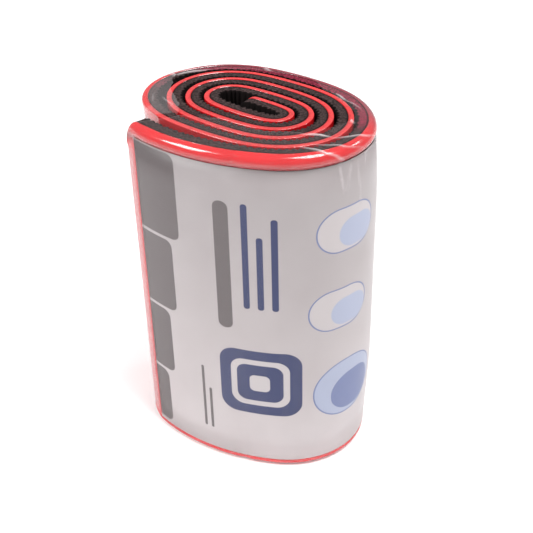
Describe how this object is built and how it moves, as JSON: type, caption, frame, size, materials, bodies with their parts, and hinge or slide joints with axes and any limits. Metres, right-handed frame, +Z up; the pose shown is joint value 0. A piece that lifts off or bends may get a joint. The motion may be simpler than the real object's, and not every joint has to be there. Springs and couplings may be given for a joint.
{
  "type": "aluminium foam splint",
  "caption": "Rolled foam splint strip, red outside and charcoal inside, standing on end with a paper label round its front under clear shrink film.",
  "frame": {"origin": "bottom centre of the standing roll's bounding box", "axes": "+Z up along the roll's axis, which is the strip's width; -Y faces the viewer, towards the front of the label; +X to the viewer's right"},
  "size_m": [0.0692, 0.063, 0.1089],
  "materials": {
    "charcoal_foam": "matt closed-cell foam with a fine cell grain on its cut edges",
    "red_foam": "smooth-skinned closed-cell foam, soft sheen",
    "label_paper": "printed paper, satin",
    "clear_film": "clear shrink film, glossy and slightly wrinkled"
  },
  "bodies": {
    "root": {"charcoal_foam": "charcoal_foam", "red_foam": "red_foam", "paper_label": "label_paper", "shrink_film": "clear_film"}
  },
  "joints": []
}
